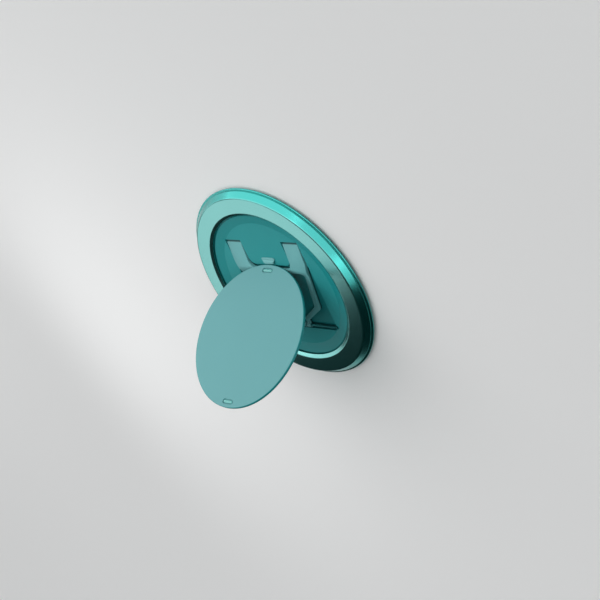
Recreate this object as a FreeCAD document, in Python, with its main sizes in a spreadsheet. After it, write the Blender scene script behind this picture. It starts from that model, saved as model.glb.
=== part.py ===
"""Magnetic phone grip with a fold-out disk, drawn open as a stand.

Frame: origin on the ring's axis at the back contact face, +Z out of the ring's face, +Y towards the
leg tips of the guide frame, +X to the right. Millimetres. The linkage is drawn closed (flat in the
dish) and then turned open: the strut by open_angle about its pin, the disk by the same angle the
other way, which keeps the disk's upper rim on the dish floor.
"""
import FreeCAD
import Part
import math
import os

import Sketcher

doc = FreeCAD.newDocument("phone_grip")
sheet = doc.addObject("Spreadsheet::Sheet", "sizes")

DRIVING_SIZES = {
    # finger disk
    "disk_radius": 19.4,
    "disk_thickness": 0.8,
    "disk_edge": 0.12,
    "pip_length": 3.4,
    "pip_width": 0.85,
    "pip_end_flat": 0.02,
    "pip_groove": 0.24,
    "pip_inset": 1.6,
    "pip_depth": 0.3,
    "pip_stand": 0.08,
    # dish, from the floor outwards
    "disk_overlap": 0.1,
    "band_width": 2.75,
    "flange_width": 2.5,
    "flange_thickness": 0.8,
    "flange_clearance": 0.2,
    "rim_upstand": 0.35,
    "dish_lift": 0.1,
    "dish_back_clearance": 0.4,
    "glide_thickness": 0.15,
    "glide_width": 1.6,
    "glide_clearance": 0.05,
    # ring housing, from the bore outwards
    "rim_gap": 0.35,
    "bevel_width": 0.9,
    "bevel_depth": 0.45,
    "capture_gap": 0.15,
    "capture_lip_thickness": 0.45,
    "groove_wall": 0.4,
    "skirt_wall": 0.65,
    "skirt_height": 0.4,
    "side_step": 0.15,
    "side_height": 0.25,
    "chamfer_width": 1.35,
    "lip_width": 0.55,
    "lip_thickness": 0.4,
    "lip_edge_round": 0.15,
    # back of the housing
    "pad_thickness": 0.5,
    "pad_width": 7.2,
    "pad_edge_inset": 0.5,
    "plate_thickness": 0.4,
    "plate_width": 7.6,
    "plate_ledge": 0.6,
    "plate_clearance": 0.05,
    # magnets
    "magnet_count": 16.0,
    "magnet_width": 2.25,
    "magnet_thickness": 1.25,
    "magnet_gap_angle": 2.0,
    "magnet_clearance": 0.1,
    "shield_thickness": 0.2,
    # pocket for the linkage
    "pocket_web": 0.3,
    "pocket_depth": 0.7,
    "pocket_side_margin": 5.3,
    "pocket_corner_cut": 0.8,
    "pocket_rim_margin": 0.13,
    "pocket_corner_round": 0.9,
    "island_gap": 0.8,
    "island_corner_radius": 2.0,
    # guide frame
    "leg_side_gap": 0.4,
    "leg_width": 5.5,
    "leg_rim_margin": 0.14,
    "leg_clearance": 0.3,
    "leg_tip_thickness": 0.3,
    "leg_tip_step": 0.25,
    "leg_step_length": 0.6,
    "leg_fillet": 2.2,
    "ridge_clearance": 0.2,
    "ridge_gap": 0.1,
    "ridge_width": 0.7,
    "ramp_length": 1.7,
    "rail_drop": 0.5,
    "rail_width": 1.5,
    "rail_inset": 1.1,
    "crossbar_setback": 0.1,
    "crossbar_width": 1.2,
    "window_corner_radius": 1.2,
    "elbow_inset": 3.0,
    "elbow_rise": 5.6,
    "knuckle_length": 1.2,
    "knuckle_radius": 0.68,
    "knuckle_lift": 0.02,
    "pin_seat_depth": 0.4,
    # linkage
    "open_angle": 55.4,
    "pin_inset": 1.1,
    "rim_lead": 0.4,
    "strut_pin_radius": 0.42,
    "disk_pin_radius": 0.32,
    "running_clearance": 0.04,
    "strut_thickness": 0.8,
    "strut_neck": 3.05,
    "neck_gap": 0.25,
    "washer_play": 0.025,
    "strut_half_width": 6.0,
    "strut_neck_length": 2.4,
    "strut_shoulder_drop": 2.4,
    "strut_taper": 2.4,
    "tongue_half_width": 4.1,
    "eye_radius": 0.6,
    "lug_gap": 0.2,
    "lug_thickness": 1.2,
    "bracket_half_width": 8.5,
    "bracket_thickness": 0.25,
    "bracket_gap": 0.1,
    "bracket_length": 5.0,
    "bracket_setback": 1.2,
    "rivet_radius": 0.6,
    "rivet_inset": 1.2,
    "rivet_depth": 0.3,
    # catch for the disk's rim
    "catch_gap": 0.12,
    "catch_length": 2.1,
    "catch_height": 0.55,
    "catch_crest": 1.3,
    "catch_toe": 0.08,
    "catch_half_width": 2.6,
    "catch_root_half_width": 2.0,
    "catch_peg_radius": 0.5,
    "catch_peg_depth": 0.5,
}

for row, (alias, value) in enumerate(DRIVING_SIZES.items(), start=1):
    sheet.set("A%d" % row, alias)
    sheet.set("B%d" % row, str(value))
    sheet.setAlias("B%d" % row, alias)
doc.recompute()


class Size:
    """A number from the sheet together with the expression that gives it."""

    def __init__(self, value, text):
        self.value = value
        self.text = text

    def join(self, other, sign, value):
        text = other.text if isinstance(other, Size) else repr(float(other))
        return Size(value, "(%s %s %s)" % (self.text, sign, text))

    def __add__(self, other):
        return self.join(other, "+", self.value + number(other))

    def __sub__(self, other):
        return self.join(other, "-", self.value - number(other))

    def __mul__(self, other):
        return self.join(other, "*", self.value * number(other))

    def __truediv__(self, other):
        return self.join(other, "/", self.value / number(other))

    def __neg__(self):
        return Size(-self.value, "(0 - %s)" % self.text)

    def leg(self, other):
        """The other short side of a right triangle with this long side."""
        value = math.sqrt(self.value ** 2 - other.value ** 2)
        return Size(value, "sqrt(%s * %s - %s * %s)" % (self.text, self.text, other.text, other.text))


def number(thing):
    """Plain number of a Size or of a number."""
    return thing.value if isinstance(thing, Size) else float(thing)


def size(alias):
    """Driving size by its name in the sheet."""
    return Size(float(sheet.get(alias)), "sizes." + alias)


ZERO = Size(0.0, "0")


def bind(thing, prop, amount):
    """Set a property to a size and keep it tied to the sheet."""
    thing.setExpression(prop, amount.text)


def new_body(label):
    body = doc.addObject("PartDesign::Body", label)
    body.Label = label
    return body


def plane(body, role):
    return next(item for item in body.Origin.OriginFeatures if item.Role == role)


# Sketcher's own numbers for the points of a curve
POINT = {"start": 1, "end": 2, "centre": 3}


def pin_point(sketch, index, x, y, spot):
    """Tie one point of a sketch curve to two sizes measured from the sketch's origin."""
    vertical_axis = -2
    horizontal_axis = -1
    for kind, amount, axis in (("DistanceX", x, vertical_axis), ("DistanceY", y, horizontal_axis)):
        if amount is ZERO:
            sketch.addConstraint(Sketcher.Constraint("PointOnObject", index, spot, axis))
            continue
        place = sketch.addConstraint(Sketcher.Constraint(kind, -1, 1, index, spot, amount.value))
        bind(sketch, "Constraints[%d]" % place, amount)


def draw_outline(sketch, points):
    """Closed outline of straight lines, each corner tied to its two sizes."""
    corners = [FreeCAD.Vector(number(x), number(y), 0) for x, y in points]
    first = len(sketch.Geometry)
    count = len(corners)
    for i, corner in enumerate(corners):
        sketch.addGeometry(Part.LineSegment(corner, corners[(i + 1) % count]), False)
    for i in range(count):
        after = first + (i + 1) % count
        sketch.addConstraint(Sketcher.Constraint("Coincident", first + i, POINT["end"], after, POINT["start"]))
    for i, (x, y) in enumerate(points):
        pin_point(sketch, first + i, x, y, POINT["start"])


def new_sketch(body, name, role, height=None):
    sketch = body.newObject("Sketcher::SketchObject", name)
    sketch.AttachmentSupport = [(plane(body, role), "")]
    sketch.MapMode = "FlatFace"
    if height is not None:
        bind(sketch, "AttachmentOffset.Base.z", height)
    return sketch


def outline_sketch(body, name, role, points, height=None):
    sketch = new_sketch(body, name, role, height)
    draw_outline(sketch, points)
    return sketch


def draw_circle(sketch, x, y, radius):
    """Circle whose centre and radius are tied to sizes."""
    index = len(sketch.Geometry)
    centre = FreeCAD.Vector(number(x), number(y), 0)
    sketch.addGeometry(Part.Circle(centre, FreeCAD.Vector(0, 0, 1), number(radius)), False)
    place = sketch.addConstraint(Sketcher.Constraint("Radius", index, number(radius)))
    bind(sketch, "Constraints[%d]" % place, radius)
    pin_point(sketch, index, x, y, POINT["centre"])


def circle_sketch(body, name, role, x, y, radius, height=None):
    sketch = new_sketch(body, name, role, height)
    draw_circle(sketch, x, y, radius)
    return sketch


def revolve(body, name, points):
    """Solid of revolution about Z from an outline in the XZ plane."""
    sketch = outline_sketch(body, name + "_profile", "XZ_Plane", points)
    turn = body.newObject("PartDesign::Revolution", name)
    turn.Profile = sketch
    turn.ReferenceAxis = (sketch, ["V_Axis"])
    turn.Angle = 360.0
    return turn


def pad(body, name, sketch, length, both_sides=False):
    feature = body.newObject("PartDesign::Pad", name)
    feature.Profile = sketch
    feature.Midplane = both_sides
    bind(feature, "Length", length)
    return feature


def pocket(body, name, sketch, depth, both_sides=False, upwards=False):
    feature = body.newObject("PartDesign::Pocket", name)
    feature.Profile = sketch
    feature.Midplane = both_sides
    feature.Reversed = upwards
    bind(feature, "Length", depth)
    return feature


def round_upright_edges(body, name, radius, spots):
    """Fillet the edges parallel to Z that stand at the given X, Y spots."""
    doc.recompute()
    base = body.Tip
    near = 0.02
    names = []
    for index, edge in enumerate(base.Shape.Edges, start=1):
        ends = [vertex.Point for vertex in edge.Vertexes]
        if len(ends) != 2:
            continue
        run = ends[1] - ends[0]
        if math.hypot(run.x, run.y) > near:
            continue
        for x, y in spots:
            if math.hypot(ends[0].x - number(x), ends[0].y - number(y)) < near:
                names.append("Edge%d" % index)
    fillet = body.newObject("PartDesign::Fillet", name)
    fillet.Base = (base, names)
    bind(fillet, "Radius", radius)
    return fillet


def mirrored(points):
    """Outline for the other half, turned so that it runs the same way round."""
    return [(-x if x is not ZERO else x, y) for x, y in reversed(points)]


def washer(label, inner, outer, bottom, thickness):
    """Flat ring about Z."""
    body = new_body(label)
    top = bottom + thickness
    revolve(body, label + "_turn", [(inner, bottom), (outer, bottom), (outer, top), (inner, top)])
    return body


def cylinder_along_x(name, radius, half_length, y, z):
    """Round bar along X, centred on X = 0."""
    bar = doc.addObject("Part::Cylinder", name)
    bind(bar, "Radius", radius)
    bind(bar, "Height", half_length * 2)
    bar.Placement = FreeCAD.Placement(FreeCAD.Vector(), FreeCAD.Rotation(FreeCAD.Vector(0, 1, 0), 90))
    bind(bar, "Placement.Base.x", -half_length)
    bind(bar, "Placement.Base.y", y)
    bind(bar, "Placement.Base.z", z)
    return bar


# Radii that several pieces share, from the dish floor outwards
floor_radius = size("disk_radius") - size("disk_overlap")
dish_rim_radius = floor_radius + size("band_width")
bore_radius = dish_rim_radius + size("rim_gap")
face_inner_radius = bore_radius + size("bevel_width")
flange_radius = dish_rim_radius + size("flange_width")
groove_radius = flange_radius + size("flange_clearance")
cavity_inner = groove_radius + size("groove_wall")
magnet_inner_radius = cavity_inner + size("magnet_clearance")
magnet_outer_radius = magnet_inner_radius + size("magnet_width")
cavity_outer = magnet_outer_radius + size("magnet_clearance")
plate_radius = cavity_outer + size("plate_ledge")
plate_inner_radius = plate_radius - size("plate_width")
recess_radius = plate_radius + size("plate_clearance")
skirt_radius = recess_radius + size("skirt_wall")
side_radius = skirt_radius + size("side_step")
lip_radius = side_radius + size("lip_width")
face_outer_radius = side_radius - size("chamfer_width")
pad_radius = skirt_radius - size("pad_edge_inset")

# Heights, from the back contact face up
plate_top = size("pad_thickness") + size("plate_thickness")
magnet_top = plate_top + size("magnet_thickness")
cavity_top = magnet_top + size("shield_thickness") + size("magnet_clearance")
flange_bottom = plate_top + size("glide_thickness") + size("glide_clearance")
flange_top = flange_bottom + size("flange_thickness")
dish_rim_height = flange_top + size("rim_upstand")
capture_bottom = flange_top + size("glide_thickness") + size("capture_gap")
bevel_foot = capture_bottom + size("capture_lip_thickness")
face = bevel_foot + size("bevel_depth")
lip_bottom = size("pad_thickness") + size("skirt_height")
lip_top = lip_bottom + size("lip_thickness")
dish_bottom = size("pad_thickness") + size("dish_lift")
pocket_floor = dish_bottom + size("pocket_web")
floor = pocket_floor + size("pocket_depth")
strut_pin_z = pocket_floor + size("knuckle_radius") + size("knuckle_lift")
bracket_bottom = strut_pin_z + size("strut_thickness") / 2 + size("bracket_gap")
disk_back = bracket_bottom + size("bracket_thickness")
disk_front = disk_back + size("disk_thickness")
ridge_height = disk_back - size("ridge_gap")
rail_height = ridge_height - size("rail_drop")

# The linkage in the YZ plane
pocket_half_width = floor_radius - size("pocket_side_margin")
pocket_corner_radius = floor_radius - size("pocket_rim_margin")
pocket_lower_edge = pocket_corner_radius.leg(pocket_half_width - size("pocket_corner_cut"))
strut_pin_y = size("pin_inset") - pocket_lower_edge
strut_length = (size("disk_radius") - strut_pin_y - size("rim_lead")) / 2
disk_pin_y = strut_pin_y + strut_length
rim_length = size("disk_radius") - disk_pin_y
cosine = Size(math.cos(math.radians(size("open_angle").value)), "cos(sizes.open_angle * 1 deg)")
sine = Size(math.sin(math.radians(size("open_angle").value)), "sin(sizes.open_angle * 1 deg)")
open_reach = strut_pin_y + cosine * (strut_length + rim_length)
open_back_y = open_reach + sine * (disk_back - strut_pin_z)
open_back_z = strut_pin_z + sine * (strut_length - rim_length) + cosine * (disk_back - strut_pin_z)
open_front_y = open_reach + sine * (disk_front - strut_pin_z)

# Guide frame and catch, placed by where the disk's rim stands when open
ridge_upper = open_back_y - (ridge_height - open_back_z) * cosine / sine - size("ridge_clearance")
ridge_lower = ridge_upper - size("ridge_width")
crossbar_upper = ridge_upper - size("crossbar_setback")
window_top = crossbar_upper - size("crossbar_width")
island_edge = ridge_upper + size("island_gap")
leg_outer = pocket_half_width - size("leg_side_gap")
leg_inner = leg_outer - size("leg_width")
leg_tip = (floor_radius - size("leg_rim_margin")).leg(leg_outer)
knuckle_inner = size("strut_neck") + size("neck_gap")
catch_foot = open_front_y + size("catch_gap")


def make_ring_housing():
    """Turned housing: lip, steep polished chamfer, flat face, inner bevel and two grooves behind."""
    body = new_body("ring_housing")
    revolve(body, "housing_turn", [
        (recess_radius, size("pad_thickness")),
        (skirt_radius, size("pad_thickness")),
        (skirt_radius, lip_bottom),
        (lip_radius, lip_bottom),
        (lip_radius, lip_top - size("lip_edge_round")),
        (lip_radius - size("lip_edge_round"), lip_top),
        (side_radius, lip_top),
        (side_radius, lip_top + size("side_height")),
        (face_outer_radius, face),
        (face_inner_radius, face),
        (bore_radius, bevel_foot),
        (bore_radius, capture_bottom),
        (groove_radius, capture_bottom),
        (groove_radius, plate_top),
        (cavity_inner, plate_top),
        (cavity_inner, cavity_top),
        (cavity_outer, cavity_top),
        (cavity_outer, plate_top),
        (recess_radius, plate_top),
    ])
    return body


def make_magnet_array():
    """Ring of arc magnets, a separate solid each, with a small angle between them."""
    count = int(round(size("magnet_count").value))
    magnets = []
    for i in range(count):
        sector = doc.addObject("Part::Cylinder", "magnet_sector_%d" % i)
        bind(sector, "Radius", magnet_outer_radius)
        bind(sector, "Height", size("magnet_thickness"))
        sector.setExpression("Angle", "360 / sizes.magnet_count - sizes.magnet_gap_angle")
        hole = doc.addObject("Part::Cylinder", "magnet_hole_%d" % i)
        bind(hole, "Radius", magnet_inner_radius)
        bind(hole, "Height", size("magnet_thickness"))
        magnet = doc.addObject("Part::Cut", "magnet_%d" % i)
        magnet.Base = sector
        magnet.Tool = hole
        turn = FreeCAD.Rotation(FreeCAD.Vector(0, 0, 1), 360.0 * i / count)
        magnet.Placement = FreeCAD.Placement(FreeCAD.Vector(), turn)
        bind(magnet, "Placement.Base.z", plate_top)
        magnets.append(magnet)
    group = doc.addObject("Part::Compound", "magnet_array")
    group.Links = magnets
    return group


def make_dish():
    """Turntable dish: flange under the housing's lip, conical band, floor and the linkage's pocket."""
    body = new_body("dish")
    dish_back_radius = plate_inner_radius - size("dish_back_clearance")
    revolve(body, "dish_turn", [
        (ZERO, dish_bottom),
        (dish_back_radius, dish_bottom),
        (dish_back_radius, flange_bottom),
        (flange_radius, flange_bottom),
        (flange_radius, flange_top),
        (dish_rim_radius, flange_top),
        (dish_rim_radius, dish_rim_height),
        (floor_radius, floor),
        (ZERO, floor),
    ])
    half = pocket_half_width
    cut = size("pocket_corner_cut")
    notch_inner = leg_inner - size("leg_clearance")
    notch_outer = leg_outer + size("leg_clearance")
    notch_top = leg_tip + size("leg_clearance")
    half_outline = [
        (half - cut, -pocket_lower_edge),
        (half, cut - pocket_lower_edge),
        (half, island_edge),
        (notch_outer, island_edge),
        (notch_outer, notch_top),
        (notch_inner, notch_top),
        (notch_inner, island_edge),
    ]
    sketch = outline_sketch(body, "pocket_outline", "XY_Plane", half_outline + mirrored(half_outline),
                            pocket_floor)
    pocket(body, "pocket_cut", sketch, face, upwards=True)
    corners = half_outline[:2] + mirrored(half_outline[:2])
    round_upright_edges(body, "pocket_corners", size("pocket_corner_round"), corners)
    inner_corners = [(notch_inner, island_edge), (-notch_inner, island_edge)]
    round_upright_edges(body, "island_corners", size("island_corner_radius"), inner_corners)
    seat_sketch = circle_sketch(body, "pin_seat_outline", "YZ_Plane", strut_pin_y, strut_pin_z,
                                size("strut_pin_radius"))
    pocket(body, "pin_seats", seat_sketch, (half + size("pin_seat_depth")) * 2, both_sides=True)
    peg_y = catch_foot + size("catch_length") / 2
    peg_sketch = circle_sketch(body, "catch_peg_outline", "XY_Plane", ZERO, peg_y,
                               size("catch_peg_radius"), floor - size("catch_peg_depth"))
    pocket(body, "catch_peg_hole", peg_sketch, size("catch_peg_depth"), upwards=True)
    return body


def make_guide_frame():
    """Frame in the pocket: two ramped legs, a ridge, rails round a window and knuckles on the pin."""
    body = new_body("guide_frame")
    rail = size("rail_width")
    knuckle_outer = knuckle_inner + size("knuckle_length")
    elbow_x = pocket_half_width - size("elbow_inset")
    elbow_y = strut_pin_y + size("elbow_rise")
    rail_outer = pocket_half_width - size("rail_inset")
    outer_half = [
        (knuckle_outer, strut_pin_y),
        (knuckle_outer, strut_pin_y + rail),
        (elbow_x, elbow_y),
        (rail_outer, window_top),
        (leg_outer, ridge_upper + rail),
        (leg_outer, leg_tip),
        (leg_inner, leg_tip),
        (leg_inner, crossbar_upper),
    ]
    window_half = [
        (knuckle_inner, strut_pin_y),
        (knuckle_inner, strut_pin_y + rail * 1.5),
        (elbow_x - rail * 1.2, elbow_y + rail / 2),
        (rail_outer - rail, window_top),
    ]
    outline = outer_half + mirrored(outer_half) + window_frame_seam(window_half)
    sketch = outline_sketch(body, "frame_plan", "XY_Plane", outline, pocket_floor)
    pad(body, "frame_plate", sketch, ridge_height - pocket_floor)
    round_upright_edges(body, "leg_fillets", size("leg_fillet"),
                        [(leg_inner, crossbar_upper), (-leg_inner, crossbar_upper)])
    window_corner = window_half[3]
    round_upright_edges(body, "window_corners", size("window_corner_radius"),
                        [window_corner, (-window_corner[0], window_corner[1])])
    round_upright_edges(body, "elbow_corners", size("window_corner_radius"),
                        [(elbow_x, elbow_y), (-elbow_x, elbow_y)])
    tip_top = pocket_floor + size("leg_tip_thickness")
    step_top = tip_top + size("leg_tip_step")
    above = face + size("disk_thickness")
    side = [
        (leg_tip + rail, above),
        (leg_tip + rail, tip_top),
        (leg_tip - size("leg_step_length") / 2, tip_top),
        (leg_tip - size("leg_step_length"), step_top),
        (ridge_upper, ridge_height),
        (ridge_lower, ridge_height),
        (ridge_lower - size("ramp_length"), rail_height),
        (strut_pin_y - rail, rail_height),
        (strut_pin_y - rail, above),
    ]
    side_sketch = outline_sketch(body, "frame_side", "YZ_Plane", side)
    pocket(body, "frame_top", side_sketch, pocket_half_width * 2, both_sides=True)
    for name, start in (("right", knuckle_inner), ("left", -knuckle_outer)):
        knuckle = circle_sketch(body, "knuckle_circle_" + name, "YZ_Plane", strut_pin_y, strut_pin_z,
                                size("knuckle_radius"), start)
        pad(body, "knuckle_" + name, knuckle, size("knuckle_length"))
    bore = circle_sketch(body, "pin_bore_outline", "YZ_Plane", strut_pin_y, strut_pin_z,
                         size("strut_pin_radius"))
    pocket(body, "pin_bore", bore, pocket_half_width * 2, both_sides=True)
    return body


def window_frame_seam(window_half):
    """The window's outline for one open U, listed from the left knuckle round to the right one."""
    left = [(-x, y) for x, y in window_half]
    return left + list(reversed(window_half))


def make_rim_catch():
    """Soft wedge on the dish floor: a ramp towards +Y, a crest, and a steep side for the disk's rim."""
    body = new_body("rim_catch")
    foot = catch_foot
    back = foot + size("catch_length")
    crest = floor + size("catch_height")
    toe = floor + size("catch_toe")
    side = [(foot, floor), (foot, crest), (foot + size("catch_crest"), crest), (back, toe), (back, floor)]
    wide = size("catch_half_width")
    sketch = outline_sketch(body, "catch_side", "YZ_Plane", side)
    pad(body, "catch_wedge", sketch, wide * 2, both_sides=True)
    for name, flip in (("right", False), ("left", True)):
        corner = [(size("catch_root_half_width"), foot), (wide, foot), (wide, back)]
        points = mirrored(corner) if flip else corner
        trim = outline_sketch(body, "catch_trim_" + name, "XY_Plane", points, floor)
        pocket(body, "catch_taper_" + name, trim, size("catch_height"), upwards=True)
    peg_bottom = floor - size("catch_peg_depth")
    peg = circle_sketch(body, "catch_peg_circle", "XY_Plane", ZERO, foot + size("catch_length") / 2,
                        size("catch_peg_radius"), peg_bottom)
    pad(body, "catch_peg", peg, size("catch_peg_depth"))
    return body


def make_strut():
    """Flat keystone strut: narrow neck and eye on the strut pin, tongue and eye on the disk pin."""
    body = new_body("strut")
    half = size("strut_thickness") / 2
    neck_top = strut_pin_y + size("strut_neck_length")
    shoulder = disk_pin_y - size("strut_shoulder_drop")
    right = [
        (size("strut_neck"), strut_pin_y),
        (size("strut_neck"), neck_top),
        (size("strut_half_width"), neck_top + size("strut_taper")),
        (size("strut_half_width"), shoulder),
        (size("tongue_half_width"), shoulder),
        (size("tongue_half_width"), disk_pin_y),
    ]
    sketch = outline_sketch(body, "strut_plan", "XY_Plane", right + mirrored(right), strut_pin_z - half)
    pad(body, "strut_plate", sketch, size("strut_thickness"))
    for name, y, radius, reach in (("neck_eye", strut_pin_y, size("knuckle_radius"), size("strut_neck")),
                                   ("tongue_eye", disk_pin_y, size("eye_radius"),
                                    size("tongue_half_width"))):
        eye = circle_sketch(body, name + "_circle", "YZ_Plane", y, strut_pin_z, radius)
        pad(body, name, eye, reach * 2, both_sides=True)
    for name, y, radius in (("neck_bore", strut_pin_y, size("strut_pin_radius") + size("running_clearance")),
                            ("tongue_bore", disk_pin_y, size("disk_pin_radius"))):
        bore = circle_sketch(body, name + "_circle", "YZ_Plane", y, strut_pin_z, radius)
        pocket(body, name, bore, size("strut_half_width") * 2, both_sides=True)
    return body


def rivet_spots():
    """Centres of the four bracket rivets, drawn closed."""
    x = size("bracket_half_width") - size("rivet_inset")
    top = disk_pin_y - size("bracket_setback")
    upper = top - size("rivet_inset")
    lower = top - size("bracket_length") + size("rivet_inset")
    return [(x, upper), (-x, upper), (-x, lower), (x, lower)]


def make_finger_disk():
    """Thin round disk with eased edges, two pip recesses in front and four rivet holes behind."""
    body = new_body("finger_disk")
    edge = size("disk_edge")
    back = disk_back
    radius = size("disk_radius")
    revolve(body, "disk_turn", [
        (ZERO, back),
        (radius - edge, back),
        (radius, back + edge),
        (radius, disk_front - edge),
        (radius - edge, disk_front),
        (ZERO, disk_front),
    ])
    groove = size("pip_groove")
    for name, y in pip_spots():
        outline = pip_outline(y, groove)
        recess = outline_sketch(body, name + "_recess", "XY_Plane", outline, disk_front - size("pip_depth"))
        pocket(body, name + "_seat", recess, size("pip_depth") * 2, upwards=True)
        round_upright_edges(body, name + "_seat_ends", pip_end_radius + groove, outline)
    holes = new_sketch(body, "rivet_hole_circles", "XY_Plane", back)
    for x, y in rivet_spots():
        draw_circle(holes, x, y, size("rivet_radius"))
    pocket(body, "rivet_holes", holes, size("rivet_depth"), upwards=True)
    return body


pip_end_radius = size("pip_width") / 2 - size("pip_end_flat")


def pip_spots():
    reach = size("disk_radius") - size("pip_inset")
    return [("upper_pip", reach), ("lower_pip", -reach)]


def pip_outline(y, margin=ZERO):
    """Rectangle round a pip's centre; its ends are rounded afterwards."""
    half_length = size("pip_length") / 2 + margin
    half_width = size("pip_width") / 2 + margin
    return [(-half_length, y - half_width), (half_length, y - half_width),
            (half_length, y + half_width), (-half_length, y + half_width)]


def make_pip(name, y):
    """Pill-shaped soft pip set in the disk's face and standing just proud of it."""
    body = new_body(name)
    outline = pip_outline(y)
    sketch = outline_sketch(body, name + "_outline", "XY_Plane", outline, disk_front - size("pip_depth"))
    pad(body, name + "_pad", sketch, size("pip_depth") + size("pip_stand"))
    round_upright_edges(body, name + "_ends", pip_end_radius, outline)
    return body


def make_hinge_bracket():
    """Sheet bracket riveted behind the disk, with two lugs that carry the disk pin."""
    body = new_body("hinge_bracket")
    back = disk_back
    bottom = bracket_bottom
    wide = size("bracket_half_width")
    top = disk_pin_y - size("bracket_setback")
    low = top - size("bracket_length")
    plate = outline_sketch(body, "bracket_plan", "XY_Plane",
                           [(-wide, low), (wide, low), (wide, top), (-wide, top)], bottom)
    pad(body, "bracket_plate", plate, size("bracket_thickness"))
    eye = size("eye_radius")
    lug_inner = size("tongue_half_width") + size("lug_gap")
    root = top - size("rivet_radius")
    lug_side = [
        (disk_pin_y + eye, back),
        (root, back),
        (root, bottom),
        (disk_pin_y - eye, bottom),
        (disk_pin_y - eye, strut_pin_z),
        (disk_pin_y + eye, strut_pin_z),
    ]
    for name, start in (("right", lug_inner), ("left", -lug_inner - size("lug_thickness"))):
        side = outline_sketch(body, "lug_side_" + name, "YZ_Plane", lug_side, start)
        pad(body, "lug_" + name, side, size("lug_thickness"))
        nose = circle_sketch(body, "lug_nose_circle_" + name, "YZ_Plane", disk_pin_y, strut_pin_z, eye, start)
        pad(body, "lug_nose_" + name, nose, size("lug_thickness"))
    bore = circle_sketch(body, "lug_bore_circle", "YZ_Plane", disk_pin_y, strut_pin_z,
                         size("disk_pin_radius") + size("running_clearance"))
    pocket(body, "lug_bores", bore, wide * 2, both_sides=True)
    holes = new_sketch(body, "bracket_rivet_circles", "XY_Plane", bottom)
    for x, y in rivet_spots():
        draw_circle(holes, x, y, size("rivet_radius"))
    pocket(body, "bracket_rivet_holes", holes, size("bracket_thickness"), upwards=True)
    return body


def make_rivets():
    """Four short rivets through the bracket into the disk."""
    rivets = []
    for i, (x, y) in enumerate(rivet_spots()):
        rivet = doc.addObject("Part::Cylinder", "rivet_%d" % i)
        bind(rivet, "Radius", size("rivet_radius"))
        bind(rivet, "Height", size("bracket_thickness") + size("rivet_depth"))
        bind(rivet, "Placement.Base.x", x)
        bind(rivet, "Placement.Base.y", y)
        bind(rivet, "Placement.Base.z", bracket_bottom)
        rivets.append(rivet)
    group = doc.addObject("Part::Compound", "bracket_rivets")
    group.Links = rivets
    return group


def make_pivot_washers():
    """Thin friction washers on the strut pin, one each side of the strut's neck."""
    washers = []
    inset = size("washer_play")
    thickness = size("neck_gap") - inset * 2
    for i, start in enumerate((size("strut_neck") + inset, -size("strut_neck") - inset - thickness)):
        outer = doc.addObject("Part::Cylinder", "washer_outer_%d" % i)
        inner = doc.addObject("Part::Cylinder", "washer_inner_%d" % i)
        bind(outer, "Radius", size("knuckle_radius"))
        bind(inner, "Radius", size("strut_pin_radius"))
        ring = doc.addObject("Part::Cut", "washer_ring_%d" % i)
        for disc in (outer, inner):
            bind(disc, "Height", thickness)
        ring.Base = outer
        ring.Tool = inner
        ring.Placement = FreeCAD.Placement(FreeCAD.Vector(), FreeCAD.Rotation(FreeCAD.Vector(0, 1, 0), 90))
        bind(ring, "Placement.Base.x", start)
        bind(ring, "Placement.Base.y", strut_pin_y)
        bind(ring, "Placement.Base.z", strut_pin_z)
        washers.append(ring)
    group = doc.addObject("Part::Compound", "pivot_washers")
    group.Links = washers
    return group


def turn_about_x(piece, sign, y_closed, z_closed, y_open, z_open):
    """Turn a piece by sign times open_angle about X so that the closed point lands on the open one."""
    turn = "(%d * sizes.open_angle * 1 deg)" % sign
    piece.Placement = FreeCAD.Placement(FreeCAD.Vector(), FreeCAD.Rotation(FreeCAD.Vector(1, 0, 0), 1))
    piece.setExpression("Placement.Rotation.Angle", turn)
    moved_y = "(%s * cos%s - %s * sin%s)" % (y_closed.text, turn, z_closed.text, turn)
    moved_z = "(%s * sin%s + %s * cos%s)" % (y_closed.text, turn, z_closed.text, turn)
    piece.setExpression("Placement.Base.y", "(%s - %s) * 1 mm" % (y_open, moved_y))
    piece.setExpression("Placement.Base.z", "(%s - %s) * 1 mm" % (z_open, moved_z))


glide_inner_radius = flange_radius - size("glide_width")
parts = [
    make_ring_housing(),
    washer("retaining_plate", plate_inner_radius, plate_radius, size("pad_thickness"),
           size("plate_thickness")),
    washer("back_pad", pad_radius - size("pad_width"), pad_radius, ZERO, size("pad_thickness")),
    make_magnet_array(),
    washer("shield_ring", magnet_inner_radius, magnet_outer_radius, magnet_top, size("shield_thickness")),
    washer("lower_glide_ring", glide_inner_radius, flange_radius, plate_top, size("glide_thickness")),
    make_dish(),
    washer("upper_glide_ring", glide_inner_radius, flange_radius, flange_top, size("glide_thickness")),
    make_guide_frame(),
    make_rim_catch(),
    make_pivot_washers(),
    cylinder_along_x("strut_pin", size("strut_pin_radius"), pocket_half_width + size("pin_seat_depth"),
                     strut_pin_y, strut_pin_z),
]

open_turn = "(sizes.open_angle * 1 deg)"
disk_pin_open_y = (strut_pin_y + strut_length * cosine).text
disk_pin_open_z = (strut_pin_z + strut_length * sine).text

strut = make_strut()
turn_about_x(strut, 1, strut_pin_y, strut_pin_z, strut_pin_y.text, strut_pin_z.text)
pin_reach = size("tongue_half_width") + size("lug_gap") + size("lug_thickness")
disk_pin = cylinder_along_x("disk_pin", size("disk_pin_radius"), pin_reach, disk_pin_y, strut_pin_z)
disk_pin.setExpression("Placement.Base.y", disk_pin_open_y + " * 1 mm")
disk_pin.setExpression("Placement.Base.z", disk_pin_open_z + " * 1 mm")
parts += [strut, disk_pin]

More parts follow.
